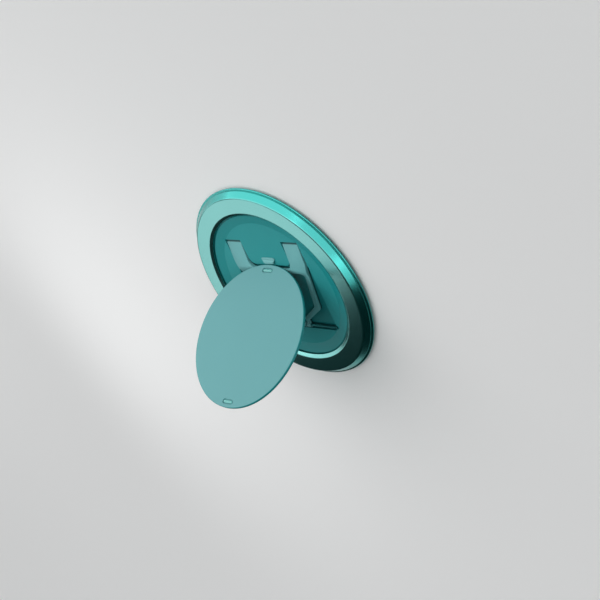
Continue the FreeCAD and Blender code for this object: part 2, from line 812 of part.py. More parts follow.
disk_parts = [make_finger_disk(), make_hinge_bracket(), make_rivets()]
disk_parts += [make_pip(name, y) for name, y in pip_spots()]
for piece in disk_parts:
    turn_about_x(piece, -1, disk_pin_y, strut_pin_z, disk_pin_open_y, disk_pin_open_z)
parts += disk_parts

doc.recompute()
failed = [item.Name for item in doc.Objects if "Invalid" in item.State or "Error" in item.State]
if failed:
    raise RuntimeError("objects failed: " + ", ".join(failed))
for piece in parts:
    if piece.Shape.isNull() or not piece.Shape.isValid():
        raise RuntimeError(piece.Label + " has no valid shape")

os.makedirs("parts", exist_ok=True)
for piece in parts:
    piece.Shape.exportStep("parts/%s.step" % piece.Label)
    box = piece.Shape.BoundBox
    print("%-18s solids %2d  volume %9.3f  z %.3f to %.3f" % (
        piece.Label, len(piece.Shape.Solids), piece.Shape.Volume, box.ZMin, box.ZMax))
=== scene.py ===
"""Looks of the phone grip: anodised ring, coated disk and linkage, moulded dish, pale floor and lamps.

The CAD frame has +Z out of the ring's face and +Y towards the guide frame's leg tips. Sizes here are
millimetres, turned to metres by MM.
"""
import math

import bmesh
import bpy
import numpy as np
from mathutils import Matrix, Vector


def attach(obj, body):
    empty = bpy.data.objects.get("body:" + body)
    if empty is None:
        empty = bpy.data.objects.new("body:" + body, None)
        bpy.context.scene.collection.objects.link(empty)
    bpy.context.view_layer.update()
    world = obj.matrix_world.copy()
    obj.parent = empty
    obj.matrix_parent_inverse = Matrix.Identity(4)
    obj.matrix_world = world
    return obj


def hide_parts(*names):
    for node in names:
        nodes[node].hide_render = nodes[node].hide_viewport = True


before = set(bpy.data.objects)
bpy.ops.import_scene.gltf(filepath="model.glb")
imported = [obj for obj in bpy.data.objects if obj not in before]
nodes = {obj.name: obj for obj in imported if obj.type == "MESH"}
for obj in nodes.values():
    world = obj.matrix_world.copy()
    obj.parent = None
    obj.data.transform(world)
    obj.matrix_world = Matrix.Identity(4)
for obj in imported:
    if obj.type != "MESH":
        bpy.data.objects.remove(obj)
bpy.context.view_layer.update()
MM = 0.001
MERGE_GAP = 0.002

# Sizes of the solids that the finer surfaces and the zones of tone follow
RECESS_RADIUS, SKIRT_RADIUS, LIP_RADIUS, SIDE_RADIUS = 28.25, 28.9, 29.6, 29.05
FACE_OUTER, FACE_INNER, BORE_RADIUS = 27.7, 23.3, 22.4
GROOVE_RADIUS, CAVITY_INNER, CAVITY_OUTER = 24.75, 25.15, 27.6
PAD_TOP, PLATE_TOP, CAVITY_TOP, CAPTURE_BOTTOM = 0.5, 0.9, 2.45, 2.2
LIP_BOTTOM, LIP_EDGE, LIP_TOP, SIDE_TOP = 0.9, 1.15, 1.3, 1.55
BEVEL_FOOT, FACE_HEIGHT = 2.65, 3.1
LIP_ROUND = 0.15
PAD_INNER, PAD_OUTER = 21.2, 28.4
FLOOR_RADIUS, FLOOR_HEIGHT, POCKET_DEPTH = 19.3, 1.6, 0.7
OPEN_ANGLE = math.radians(55.4)
STRUT_PIN_Y, STRUT_PIN_Z, STRUT_LENGTH = -12.8014, 1.6, 15.9007
DISK_MIDDLE, DISK_FRONT, RIM_START = 2.75, 3.15, 19.22
TIP_LEVEL, TIP_STEP = 1.45, 0.2
PIP_REACH = 17.8
PIP_LENGTH, PIP_WIDTH, PIP_DEPTH, PIP_STAND = 3.4, 0.85, 0.3, 0.08

# The catch: how far it leads its solid, its length, half widths and heights, and the shares of its
# length over which it widens and steps up
CATCH_LEAD, CATCH_LENGTH = 0.05, 1.85
CATCH_FAR_HALF, CATCH_NEAR_HALF, CATCH_SHELF, CATCH_NOSE = 2.5, 1.9, 0.3, 0.66
CATCH_TAPER, CATCH_STEP = (0.25, 0.75), (0.4, 0.62)

# How far the corners of the ring's and the pad's sections are eased, and the bevels of the eased copies
EDGE_EASE, HIDDEN_EASE, SKIRT_EASE, LIP_EASE, STEP_EASE = 0.06, 0.04, 0.1, 0.08, 0.05
SIDE_EASE, CHAMFER_EASE, FACE_EASE, BEVEL_EASE, PAD_EASE = 0.1, 0.3, 0.12, 0.08, 0.12
FLAT_LEAD = 1.25
FRAME_BEVEL, BRACKET_BEVEL = 0.06, 0.04
BEVEL_SEGMENTS, HARD_ANGLE, FLAT_ANGLE = 2, math.radians(32.0), math.radians(1.0)

# Sizes of grain and hairlines, and the widths over which zones of tone fade
RING_GRAIN, DISK_GRAIN, FRAME_GRAIN, DISH_GRAIN, PAD_GRAIN, CATCH_GRAIN = 0.16, 0.14, 0.12, 0.22, 0.4, 0.16
COAT_LINE, PIN_LINE, PLATE_LINE, MAGNET_LINE = 0.08, 0.05, 0.12, 0.2
CHAMFER_BLUR, BAND_BLUR, RIM_BLUR = 0.5, 0.15, 0.1
GRAIN_TOP = 0.5
LINE_STRETCH, LINE_SHARPNESS, LINE_DARKENING = 0.02, 2.5, 0.75

# The floor under the part, in millimetres
STAGE_HALF, STAGE_DROP = 3000.0, 0.01

# Near lamps: name, place, target, width and height in millimetres, and watts
LAMPS = (
    ("face_card", (-98, -21, 79), (0, 8, 3), 90, 85, 0.023),
    ("side_box", (-300, 100, 60), (0, 0, 5), 200, 140, 0.08))

# Distant panels: name, direction, width in degrees, and strength
SKY_PANELS = (
    ("top_panel", (-0.38, 0.74, 0.56), 76.0, 1.6),
    ("front_panel", (0.43, 0.33, 0.84), 56.0, 0.84),
    ("edge_panel", (0.72, -0.1, 0.69), 26.0, 0.22))

# The surround: the direction it brightens in, where along it the fade starts and stops, and both tones
SURROUND_LEAN, SURROUND_START, SURROUND_STOP = (-0.1, 0.92, 0.38), -0.1, 0.75
DIM_SURROUND, PALE_SURROUND = (0.005, 0.02, 0.02, 1.0), (0.24, 0.24, 0.24, 1.0)

# The camera: place in millimetres, direction back from the view and roll in degrees, and lens
CAMERA_PLACE = (254.26, 147.40, 181.91)
CAMERA_AZIMUTH, CAMERA_ELEVATION, CAMERA_ROLL = 31.3525, 31.6628, -133.8951
SENSOR_WIDTH, LENS, CLIP_START = 36.0, 78.83, 0.01

# A Mix node's first input, second input and output, for values and for colours
MIX_VALUES, MIX_COLOURS = (2, 3, 0), (6, 7, 2)


def add_group(name, inputs, outputs):
    """Empty shader node group with named sockets; returns the group and its two end nodes."""
    group = bpy.data.node_groups.new(name, "ShaderNodeTree")
    for label, kind, value in inputs:
        socket = group.interface.new_socket(label, in_out="INPUT", socket_type="NodeSocket" + kind)
        socket.default_value = value
    for label, kind in outputs:
        group.interface.new_socket(label, in_out="OUTPUT", socket_type="NodeSocket" + kind)
    return group, group.nodes.new("NodeGroupInput"), group.nodes.new("NodeGroupOutput")


def math_node(tree, operation, first, second, clamp=False):
    """Math node on two inputs, each a socket or a number; returns its output."""
    node = tree.nodes.new("ShaderNodeMath")
    node.operation = operation
    node.use_clamp = clamp
    for place, value in enumerate((first, second)):
        if isinstance(value, bpy.types.NodeSocket):
            tree.links.new(value, node.inputs[place])
        else:
            node.inputs[place].default_value = value
    return node.outputs[0]


def object_place(tree):
    """Socket with the place on the object."""
    return tree.nodes.new("ShaderNodeTexCoord").outputs["Object"]


def make_blast_grain():
    """Bead-blasted grain: small round pits on a finer noise, as a height from 0 to 1."""
    tree, start, end = add_group("blast_grain", [("Grain Size", "Float", 0.0002)], [("Height", "Float")])
    place = object_place(tree)
    scale = math_node(tree, "DIVIDE", 1.0, start.outputs["Grain Size"])
    pits = tree.nodes.new("ShaderNodeTexVoronoi")
    pits.feature = "SMOOTH_F1"
    fuzz = tree.nodes.new("ShaderNodeTexNoise")
    fuzz.inputs["Detail"].default_value = 3.0
    for texture in (pits, fuzz):
        tree.links.new(place, texture.inputs["Vector"])
    tree.links.new(scale, pits.inputs["Scale"])
    tree.links.new(math_node(tree, "MULTIPLY", scale, 2.0), fuzz.inputs["Scale"])
    mixed = math_node(tree, "MULTIPLY", pits.outputs["Distance"], fuzz.outputs["Fac"])
    tree.links.new(mixed, end.inputs["Height"])
    return tree


def make_tint_drift():
    """Slow drift of a colour: the colour times a soft noise about 1, and the same noise as a mask."""
    tree, start, end = add_group(
        "tint_drift",
        [("Colour", "Color", (0.5, 0.5, 0.5, 1.0)), ("Patch Size", "Float", 0.01),
         ("Amount", "Float", 0.05)],
        [("Colour", "Color"), ("Mask", "Float")])
    noise = tree.nodes.new("ShaderNodeTexNoise")
    noise.inputs["Detail"].default_value = 4.0
    tree.links.new(object_place(tree), noise.inputs["Vector"])
    scale = math_node(tree, "DIVIDE", 1.0, start.outputs["Patch Size"])
    tree.links.new(scale, noise.inputs["Scale"])
    swing = math_node(tree, "MULTIPLY", math_node(tree, "SUBTRACT", noise.outputs["Fac"], 0.5),
                      math_node(tree, "MULTIPLY", start.outputs["Amount"], 2.0))
    factor = math_node(tree, "ADD", swing, 1.0)
    scaled = tree.nodes.new("ShaderNodeVectorMath")
    scaled.operation = "SCALE"
    tree.links.new(start.outputs["Colour"], scaled.inputs[0])
    tree.links.new(factor, scaled.inputs["Scale"])
    tree.links.new(scaled.outputs[0], end.inputs["Colour"])
    tree.links.new(noise.outputs["Fac"], end.inputs["Mask"])
    return tree


def make_ring_zone():
    """Mask that is 1 where the distance from the Z axis is past Radius, with a soft edge Blur wide."""
    tree, start, end = add_group("ring_zone", [("Radius", "Float", 0.02), ("Blur", "Float", 0.0001)],
                                 [("Mask", "Float")])
    flat = tree.nodes.new("ShaderNodeVectorMath")
    flat.operation = "MULTIPLY"
    flat.inputs[1].default_value = (1.0, 1.0, 0.0)
    tree.links.new(object_place(tree), flat.inputs[0])
    length = tree.nodes.new("ShaderNodeVectorMath")
    length.operation = "LENGTH"
    tree.links.new(flat.outputs[0], length.inputs[0])
    past = math_node(tree, "SUBTRACT", length.outputs["Value"], start.outputs["Radius"])
    half_blur = math_node(tree, "MULTIPLY", start.outputs["Blur"], 0.5)
    from_start = math_node(tree, "ADD", past, half_blur)
    share = math_node(tree, "DIVIDE", from_start, start.outputs["Blur"], clamp=True)
    tree.links.new(share, end.inputs["Mask"])
    return tree


def make_rim_shade_zone():
    """Mask of painted shade on a rim: rises from 0 to 1 over Blur, from where the distance from Centre
    passes Radius.
    """
    tree, start, end = add_group(
        "rim_shade_zone",
        [("Centre", "Vector", (0.0, 0.0, 0.0)), ("Radius", "Float", 0.02), ("Blur", "Float", 0.0001)],
        [("Mask", "Float")])
    reach = tree.nodes.new("ShaderNodeVectorMath")
    reach.operation = "DISTANCE"
    tree.links.new(object_place(tree), reach.inputs[0])
    tree.links.new(start.outputs["Centre"], reach.inputs[1])
    past = math_node(tree, "SUBTRACT", reach.outputs["Value"], start.outputs["Radius"])
    share = math_node(tree, "DIVIDE", past, start.outputs["Blur"], clamp=True)
    tree.links.new(share, end.inputs["Mask"])
    return tree


def make_recess_shade_zone():
    """Mask of painted shade in recesses: 0 at the height Level and above, and 1 where the surface is Depth
    or more below it.
    """
    tree, start, end = add_group("recess_shade_zone", [("Level", "Float", 0.001), ("Depth", "Float", 0.0005)],
                                 [("Mask", "Float")])
    split = tree.nodes.new("ShaderNodeSeparateXYZ")
    tree.links.new(object_place(tree), split.inputs[0])
    below = math_node(tree, "SUBTRACT", start.outputs["Level"], split.outputs["Z"])
    share = math_node(tree, "DIVIDE", below, start.outputs["Depth"], clamp=True)
    tree.links.new(share, end.inputs["Mask"])
    return tree


def make_hairlines():
    """Hairline scratches: noise stretched along X, raised to a power that thins the lines."""
    tree, start, end = add_group("hairlines", [("Line Width", "Float", 0.00006)], [("Mask", "Float")])
    stretch = tree.nodes.new("ShaderNodeVectorMath")
    stretch.operation = "MULTIPLY"
    stretch.inputs[1].default_value = (LINE_STRETCH, 1.0, 1.0)
    tree.links.new(object_place(tree), stretch.inputs[0])
    noise = tree.nodes.new("ShaderNodeTexNoise")
    noise.inputs["Detail"].default_value = 2.0
    tree.links.new(stretch.outputs[0], noise.inputs["Vector"])
    scale = math_node(tree, "DIVIDE", 1.0, start.outputs["Line Width"])
    tree.links.new(scale, noise.inputs["Scale"])
    sharp = math_node(tree, "POWER", noise.outputs["Fac"], LINE_SHARPNESS)
    tree.links.new(sharp, end.inputs["Mask"])
    return tree


blast_grain = make_blast_grain()
tint_drift = make_tint_drift()
ring_zone = make_ring_zone()
rim_shade_zone = make_rim_shade_zone()
recess_shade_zone = make_recess_shade_zone()
hairlines = make_hairlines()


def opened(points):
    """Points of the closed disk turned by minus the open angle about X at the disk pin, then carried up."""
    pin_y = STRUT_PIN_Y + STRUT_LENGTH
    y, z = points[..., 1] - pin_y, points[..., 2] - STRUT_PIN_Z
    cosine, sine = math.cos(OPEN_ANGLE), math.sin(OPEN_ANGLE)
    turned_y = y * cosine + z * sine + STRUT_PIN_Y + STRUT_LENGTH * cosine
    turned_z = z * cosine - y * sine + STRUT_PIN_Z + STRUT_LENGTH * sine
    return np.stack([points[..., 0], turned_y, turned_z], axis=-1)


def shade(red, green, blue):
    """Linear colour of an sRGB value from 0 to 255."""
    steps = np.array([red, green, blue]) / 255.0
    linear = np.where(steps <= 0.04045, steps / 12.92, ((steps + 0.055) / 1.055) ** 2.4)
    return (*[float(value) for value in linear], 1.0)


# Tones of the finishes; the disk rim, tip slot and pocket tones are painted shade
FACE_TONE, CHAMFER_TONE = shade(134, 203, 199), shade(72, 174, 169)
DISK_TONE, DISK_RIM_SHADE_TONE = shade(98, 163, 166), shade(20, 138, 140)
FRAME_TONE, TIP_SLOT_SHADE_TONE = shade(108, 177, 179), shade(12, 76, 78)
DISH_TONE, BAND_TONE, POCKET_SHADE_TONE = shade(45, 151, 153), shade(29, 146, 148), shade(27, 128, 130)
PIN_TONE, PLATE_TONE, MAGNET_TONE = shade(44, 118, 120), shade(150, 156, 158), shade(190, 190, 184)
PAD_TONE, CATCH_TONE = shade(64, 112, 112), shade(112, 178, 179)
PIP_TONE, GLIDE_TONE, WASHER_TONE = shade(98, 182, 178), shade(214, 218, 216), shade(34, 106, 108)
STAGE_TONE = (0.9, 0.9, 0.9, 1.0)


class Finish:
    """Material with a Principled shader and short calls for the effects it shares with others."""

    def __init__(self, name, **constants):
        self.material = bpy.data.materials.new(name)
        self.material.use_nodes = True
        self.tree = self.material.node_tree
        self.shader = self.tree.nodes["Principled BSDF"]
        for label, value in constants.items():
            self.shader.inputs[label.replace("_", " ")].default_value = value

    def effect(self, group, **values):
        """Node of a shared group, with its own values on the group's inputs."""
        node = self.tree.nodes.new("ShaderNodeGroup")
        node.node_tree = group
        for label, value in values.items():
            node.inputs[label.replace("_", " ")].default_value = value
        return node

    def feed(self, output, label):
        """Link an output to a named input of the shader."""
        self.tree.links.new(output, self.shader.inputs[label])

    def ramp(self, output, low, high, stop=1.0):
        """Value from low to high as the output goes from 0 to stop."""
        node = self.tree.nodes.new("ShaderNodeMapRange")
        for label, value in (("From Max", stop), ("To Min", low), ("To Max", high)):
            node.inputs[label].default_value = value
        self.tree.links.new(output, node.inputs["Value"])
        return node.outputs["Result"]

    def blend(self, mask, first, second):
        """Colour or value between two, by a mask; first and second are sockets, colours or numbers."""
        node = self.tree.nodes.new("ShaderNodeMix")
        is_number = isinstance(second, float)
        node.data_type = "FLOAT" if is_number else "RGBA"
        first_socket, second_socket, output = MIX_VALUES if is_number else MIX_COLOURS
        self.tree.links.new(mask, node.inputs[0])
        for place, value in ((first_socket, first), (second_socket, second)):
            if isinstance(value, bpy.types.NodeSocket):
                self.tree.links.new(value, node.inputs[place])
            else:
                node.inputs[place].default_value = value
        return node.outputs[output]

    def bump(self, height, depth, share):
        """Bump of a given depth in millimetres, by a share of its full strength, on the shader's normal."""
        node = self.tree.nodes.new("ShaderNodeBump")
        node.inputs["Strength"].default_value = share
        node.inputs["Distance"].default_value = depth * MM
        self.tree.links.new(height, node.inputs["Height"])
        self.feed(node.outputs["Normal"], "Normal")


def make_ring_finish():
    """Satin anodised face, and a deeper polished tone on the chamfer and the lip outside it."""
    finish = Finish("satin_ring", Metallic=1.0)
    drift = finish.effect(tint_drift, Colour=FACE_TONE, Patch_Size=9 * MM, Amount=0.03)
    rim = finish.effect(ring_zone, Radius=FACE_OUTER * MM, Blur=CHAMFER_BLUR * MM)
    finish.feed(finish.blend(rim.outputs["Mask"], drift.outputs["Colour"], CHAMFER_TONE), "Base Color")
    grain = finish.effect(blast_grain, Grain_Size=RING_GRAIN * MM)
    rough = finish.ramp(grain.outputs["Height"], low=0.19, high=0.26, stop=GRAIN_TOP)
    finish.feed(finish.blend(rim.outputs["Mask"], first=rough, second=0.22), "Roughness")
    finish.bump(grain.outputs["Height"], depth=0.012, share=0.5)
    return finish.material


def make_coat_finish(name, colour, grain_size, shade_zone, shade_sizes, shade_colour):
    """Thin satin coat over metal, darkened by painted shade in one zone, with a faint grain and hairlines
    from handling.
    """
    finish = Finish(name, Specular_IOR_Level=0.35)
    drift = finish.effect(tint_drift, Colour=colour, Patch_Size=12 * MM, Amount=0.025)
    shaded = finish.effect(shade_zone, **shade_sizes)
    # Painted shade: the zone's mask blends the coat towards a darker tone.
    finish.feed(finish.blend(shaded.outputs["Mask"], drift.outputs["Colour"], shade_colour), "Base Color")
    grain = finish.effect(blast_grain, Grain_Size=grain_size * MM)
    lines = finish.effect(hairlines, Line_Width=COAT_LINE * MM)
    rough = finish.ramp(grain.outputs["Height"], low=0.5, high=0.6, stop=GRAIN_TOP)
    finish.feed(finish.blend(lines.outputs["Mask"], first=rough, second=0.42), "Roughness")
    finish.bump(grain.outputs["Height"], depth=0.008, share=0.4)
    return finish.material


def make_dish_finish():
    """Moulded plastic: fine matt floor, a smoother, deeper conical band round it, and a pocket darkened by
    painted shade.
    """
    finish = Finish("moulded_dish", Specular_IOR_Level=0.2)
    drift = finish.effect(tint_drift, Colour=DISH_TONE, Patch_Size=6 * MM, Amount=0.04)
    band = finish.effect(ring_zone, Radius=FLOOR_RADIUS * MM, Blur=BAND_BLUR * MM)
    banded = finish.blend(band.outputs["Mask"], drift.outputs["Colour"], BAND_TONE)
    # Painted shade: surfaces below the floor level blend to the darker pocket tone, as shade in the recess.
    recess_shade = finish.effect(recess_shade_zone, Level=FLOOR_HEIGHT * MM, Depth=POCKET_DEPTH * MM)
    finish.feed(finish.blend(recess_shade.outputs["Mask"], banded, POCKET_SHADE_TONE), "Base Color")
    grain = finish.effect(blast_grain, Grain_Size=DISH_GRAIN * MM)
    rough = finish.ramp(grain.outputs["Height"], low=0.5, high=0.62, stop=GRAIN_TOP)
    finish.feed(finish.blend(band.outputs["Mask"], first=rough, second=0.38), "Roughness")
    finish.bump(grain.outputs["Height"], depth=0.02, share=0.5)
    return finish.material


def make_steel_finish(name, colour, line_width, roughness):
    """Ground or rolled steel: hairlines along X in tone, roughness and a very shallow bump."""
    finish = Finish(name, Metallic=1.0)
    lines = finish.effect(hairlines, Line_Width=line_width * MM)
    darker = (*[value * LINE_DARKENING for value in colour[:3]], 1.0)
    finish.feed(finish.blend(lines.outputs["Mask"], colour, darker), "Base Color")
    finish.feed(finish.ramp(lines.outputs["Mask"], low=roughness, high=roughness + 0.15), "Roughness")
    finish.bump(lines.outputs["Mask"], depth=0.006, share=0.4)
    return finish.material


def make_rubber_finish(name, colour, grain_size, sheen):
    """Elastomer: pebbled grain, dull gloss and a faint sheen at grazing angles."""
    finish = Finish(name, Specular_IOR_Level=0.35, Sheen_Weight=sheen, Sheen_Roughness=0.5)
    drift = finish.effect(tint_drift, Colour=colour, Patch_Size=4 * MM, Amount=0.05)
    finish.feed(drift.outputs["Colour"], "Base Color")
    grain = finish.effect(blast_grain, Grain_Size=grain_size * MM)
    rough = finish.ramp(grain.outputs["Height"], low=0.55, high=0.75, stop=GRAIN_TOP)
    finish.feed(rough, "Roughness")
    finish.bump(grain.outputs["Height"], depth=0.03, share=0.5)
    return finish.material


def make_gloss_finish(name, colour):
    """Glossy moulded plastic with a slight flow mottle."""
    finish = Finish(name, Coat_Weight=0.4, Coat_Roughness=0.1)
    drift = finish.effect(tint_drift, Colour=colour, Patch_Size=1.2 * MM, Amount=0.05)
    finish.feed(drift.outputs["Colour"], "Base Color")
    finish.feed(finish.ramp(drift.outputs["Mask"], low=0.22, high=0.34), "Roughness")
    finish.bump(drift.outputs["Mask"], depth=0.006, share=0.3)
    return finish.material


# Painted shade: the disk's rim and side wall take a darker, deeper tone.
disk_rim_shade = {"Centre": tuple(opened(np.array([0.0, 0.0, DISK_MIDDLE])) * MM), "Radius": RIM_START * MM,
            "Blur": RIM_BLUR * MM}
# Painted shade: the frame below the tip level, on the leg tips, takes a darker tone.
tip_slot_shade = {"Level": TIP_LEVEL * MM, "Depth": TIP_STEP * MM}
ring_finish = make_ring_finish()
disk_finish = make_coat_finish("satin_disk", DISK_TONE, DISK_GRAIN, rim_shade_zone, disk_rim_shade, DISK_RIM_SHADE_TONE)
frame_finish = make_coat_finish("satin_frame", FRAME_TONE, FRAME_GRAIN, recess_shade_zone, tip_slot_shade, TIP_SLOT_SHADE_TONE)
dish_finish = make_dish_finish()
pin_finish = make_steel_finish("ground_pin", PIN_TONE, PIN_LINE, roughness=0.45)
plate_finish = make_steel_finish("rolled_plate", PLATE_TONE, PLATE_LINE, roughness=0.3)
magnet_finish = make_steel_finish("nickel_plating", MAGNET_TONE, MAGNET_LINE, roughness=0.25)
pad_finish = make_rubber_finish("soft_pad", PAD_TONE, PAD_GRAIN, sheen=0.15)
catch_finish = make_rubber_finish("catch_elastomer", CATCH_TONE, CATCH_GRAIN, sheen=0.1)
pip_finish = make_gloss_finish("pip_gloss", PIP_TONE)
glide_finish = make_gloss_finish("glide_plastic", GLIDE_TONE)
washer_finish = make_gloss_finish("washer_plastic", WASHER_TONE)


def dress(name, material):
    """Give a CAD node its finish."""
    nodes[name].data.materials.clear()
    nodes[name].data.materials.append(material)


for name, material in (
        ("ring_housing", ring_finish), ("finger_disk", disk_finish), ("dish", dish_finish),
        ("guide_frame", frame_finish), ("strut", frame_finish), ("hinge_bracket", frame_finish),
        ("strut_pin", pin_finish), ("disk_pin", pin_finish), ("bracket_rivets", pin_finish),
        ("retaining_plate", plate_finish), ("shield_ring", plate_finish),
        ("magnet_array", magnet_finish), ("back_pad", pad_finish), ("rim_catch", catch_finish),
        ("upper_pip", pip_finish), ("lower_pip", pip_finish), ("lower_glide_ring", glide_finish),
        ("upper_glide_ring", glide_finish), ("pivot_washers", washer_finish)):
    dress(name, material)


def add_piece(name, points, faces, material, body, replaced):
    """Mesh piece in the CAD frame that stands for a CAD node and rides on its body."""
    mesh = bpy.data.meshes.new(name)
    mesh.from_pydata(points.reshape(-1, 3).tolist(), [], faces.tolist())
    work = bmesh.new()
    work.from_mesh(mesh)
    bmesh.ops.remove_doubles(work, verts=work.verts, dist=MERGE_GAP * MM)
    work.to_mesh(mesh)
    work.free()
    mesh.polygons.foreach_set("use_smooth", np.ones(len(mesh.polygons), dtype=bool))
    mesh.materials.append(material)
    piece = bpy.data.objects.new(name, mesh)
    bpy.context.scene.collection.objects.link(piece)
    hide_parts(replaced)
    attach(piece, body)


def wrapped_quads(rows, columns, close_rows=True):
    """Quads of a grid that closes on itself across, and along as well if close_rows is true."""
    row = np.arange(rows if close_rows else rows - 1)[:, None]
    column = np.arange(columns)[None, :]
    next_row, next_column = (row + 1) % rows, (column + 1) % columns
    corners = [row * columns + column, row * columns + next_column,
               next_row * columns + next_column, next_row * columns + column]
    return np.stack(corners, axis=-1).reshape(-1, 4)


def eased_profile(outline, steps=6):
    """Closed outline with each corner P eased: (1-t)^2 S + 2t(1-t) P + t^2 E between cut points S and E.

    The outline holds a radius, a height and a cut for each corner. S and E lie a cut's length from P
    towards its neighbours, and a point just before each keeps the flats flat under smooth shading.
    """
    outline = np.array(outline, float)
    corners, cuts = outline[:, :2], outline[:, 2:]
    before = np.roll(corners, 1, axis=0) - corners
    after = np.roll(corners, -1, axis=0) - corners
    before /= np.linalg.norm(before, axis=1)[:, None]
    after /= np.linalg.norm(after, axis=1)[:, None]
    t = np.linspace(0.0, 1.0, steps)[None, :, None]
    start = (corners + before * cuts)[:, None, :]
    end = (corners + after * cuts)[:, None, :]
    curve = (1 - t) ** 2 * start + 2 * t * (1 - t) * corners[:, None, :] + t ** 2 * end
    lead = (corners + before * cuts * FLAT_LEAD)[:, None, :]
    tail = (corners + after * cuts * FLAT_LEAD)[:, None, :]
    return np.concatenate([lead, curve, tail], axis=1).reshape(-1, 2)


def turned(profile, segments=300):
    """Closed profile of (radius, height) carried round Z: x = r cos a, y = r sin a, z = height."""
    angle = np.linspace(0.0, 2 * np.pi, segments, endpoint=False)[None, :]
    radius, height = profile[:, 0:1], profile[:, 1:2]
    points = np.stack([radius * np.cos(angle), radius * np.sin(angle), height + 0 * angle], axis=-1)
    return points * MM, wrapped_quads(*points.shape[:2])


ring_outline = [
    (RECESS_RADIUS, PAD_TOP, EDGE_EASE), (SKIRT_RADIUS, PAD_TOP, SKIRT_EASE),
    (SKIRT_RADIUS, LIP_BOTTOM, EDGE_EASE), (LIP_RADIUS, LIP_BOTTOM, LIP_EASE),
    (LIP_RADIUS, LIP_EDGE, EDGE_EASE), (LIP_RADIUS - LIP_ROUND, LIP_TOP, EDGE_EASE),
    (SIDE_RADIUS, LIP_TOP, STEP_EASE), (SIDE_RADIUS, SIDE_TOP, SIDE_EASE),
    (FACE_OUTER, FACE_HEIGHT, CHAMFER_EASE), (FACE_INNER, FACE_HEIGHT, FACE_EASE),
    (BORE_RADIUS, BEVEL_FOOT, BEVEL_EASE), (BORE_RADIUS, CAPTURE_BOTTOM, EDGE_EASE),
    (GROOVE_RADIUS, CAPTURE_BOTTOM, HIDDEN_EASE), (GROOVE_RADIUS, PLATE_TOP, HIDDEN_EASE),
    (CAVITY_INNER, PLATE_TOP, HIDDEN_EASE), (CAVITY_INNER, CAVITY_TOP, HIDDEN_EASE),
    (CAVITY_OUTER, CAVITY_TOP, HIDDEN_EASE), (CAVITY_OUTER, PLATE_TOP, HIDDEN_EASE),
    (RECESS_RADIUS, PLATE_TOP, HIDDEN_EASE)]
points, faces = turned(eased_profile(ring_outline))
add_piece("ring_shell", points, faces, ring_finish, "base", "ring_housing")

pad_outline = [
    (PAD_INNER, 0.0, PAD_EASE), (PAD_OUTER, 0.0, PAD_EASE),
    (PAD_OUTER, PAD_TOP, HIDDEN_EASE), (PAD_INNER, PAD_TOP, HIDDEN_EASE)]
points, faces = turned(eased_profile(pad_outline))
add_piece("pad_shell", points, faces, pad_finish, "base", "back_pad")


def pip_surface(centre_y, around=48, rise=9):
    """Domed pill, opened with the disk: a stadium outline of half width w cos a, raised by h sin^0.6 a.

    The rows run from the pill's middle line underneath, out to its outline, up and in over the dome.
    """
    angle = np.linspace(0.0, 2 * np.pi, around, endpoint=False)
    middle = np.sign(np.cos(angle)) * (PIP_LENGTH - PIP_WIDTH) / 2
    sweep = np.linspace(0.0, np.pi / 2, rise)
    share = np.concatenate([[0.0, 0.6], np.cos(sweep)])[:, None]
    lift = np.concatenate([[0.0, 0.0], np.sin(sweep) ** 0.6])[:, None]
    bottom = DISK_FRONT - PIP_DEPTH
    x = middle[None, :] + PIP_WIDTH / 2 * share * np.cos(angle)[None, :]
    y = centre_y + PIP_WIDTH / 2 * share * np.sin(angle)[None, :]
    z = bottom + (PIP_DEPTH + PIP_STAND) * lift + 0 * x
    return opened(np.stack([x, y, z], axis=-1)) * MM, wrapped_quads(*x.shape, close_rows=False)


for name, centre_y in (("upper_pip", PIP_REACH), ("lower_pip", -PIP_REACH)):
    points, faces = pip_surface(centre_y)
    add_piece(name + "_dome", points, faces, pip_finish, "disk", name)


def smooth_step(values, start, stop):
    """Rise from 0 at start to 1 at stop along 3s^2 - 2s^3."""
    share = np.clip((values - start) / (stop - start), 0.0, 1.0)
    return share ** 2 * (3 - 2 * share)


def catch_surface(near, far, along=33, around=48):
    """Nub of rings x = w c |cos a|^0.5, z = h c (1 + |sin a|^0.5) / 2, from its far end to the rim end.

    The signs follow the cosine and the sine. Along t from 0 to 1 the half width w narrows, the height h
    steps up from a shelf to a nose, and c = (1 - |2t - 1|^6)^0.25 closes both ends.
    """
    t = np.linspace(0.0, 1.0, along)[:, None]
    angle = np.linspace(0.0, 2 * np.pi, around, endpoint=False)[None, :]
    close = (1 - np.abs(2 * t - 1) ** 6) ** 0.25
    half_width = CATCH_FAR_HALF + (CATCH_NEAR_HALF - CATCH_FAR_HALF) * smooth_step(t, *CATCH_TAPER)
    height = CATCH_SHELF + (CATCH_NOSE - CATCH_SHELF) * smooth_step(t, *CATCH_STEP)
    across = np.sign(np.cos(angle)) * np.abs(np.cos(angle)) ** 0.5
    upwards = np.sign(np.sin(angle)) * np.abs(np.sin(angle)) ** 0.5
    x = half_width * close * across
    z = FLOOR_HEIGHT + height * close * (1 + upwards) / 2
    y = far + (near - far) * t + 0 * x
    return np.stack([x, y, z], axis=-1) * MM, wrapped_quads(*x.shape, close_rows=False)


catch_near = min(corner[1] for corner in nodes["rim_catch"].bound_box) / MM - CATCH_LEAD
points, faces = catch_surface(catch_near, catch_near + CATCH_LENGTH)
add_piece("catch_nub", points, faces, catch_finish, "turntable", "rim_catch")


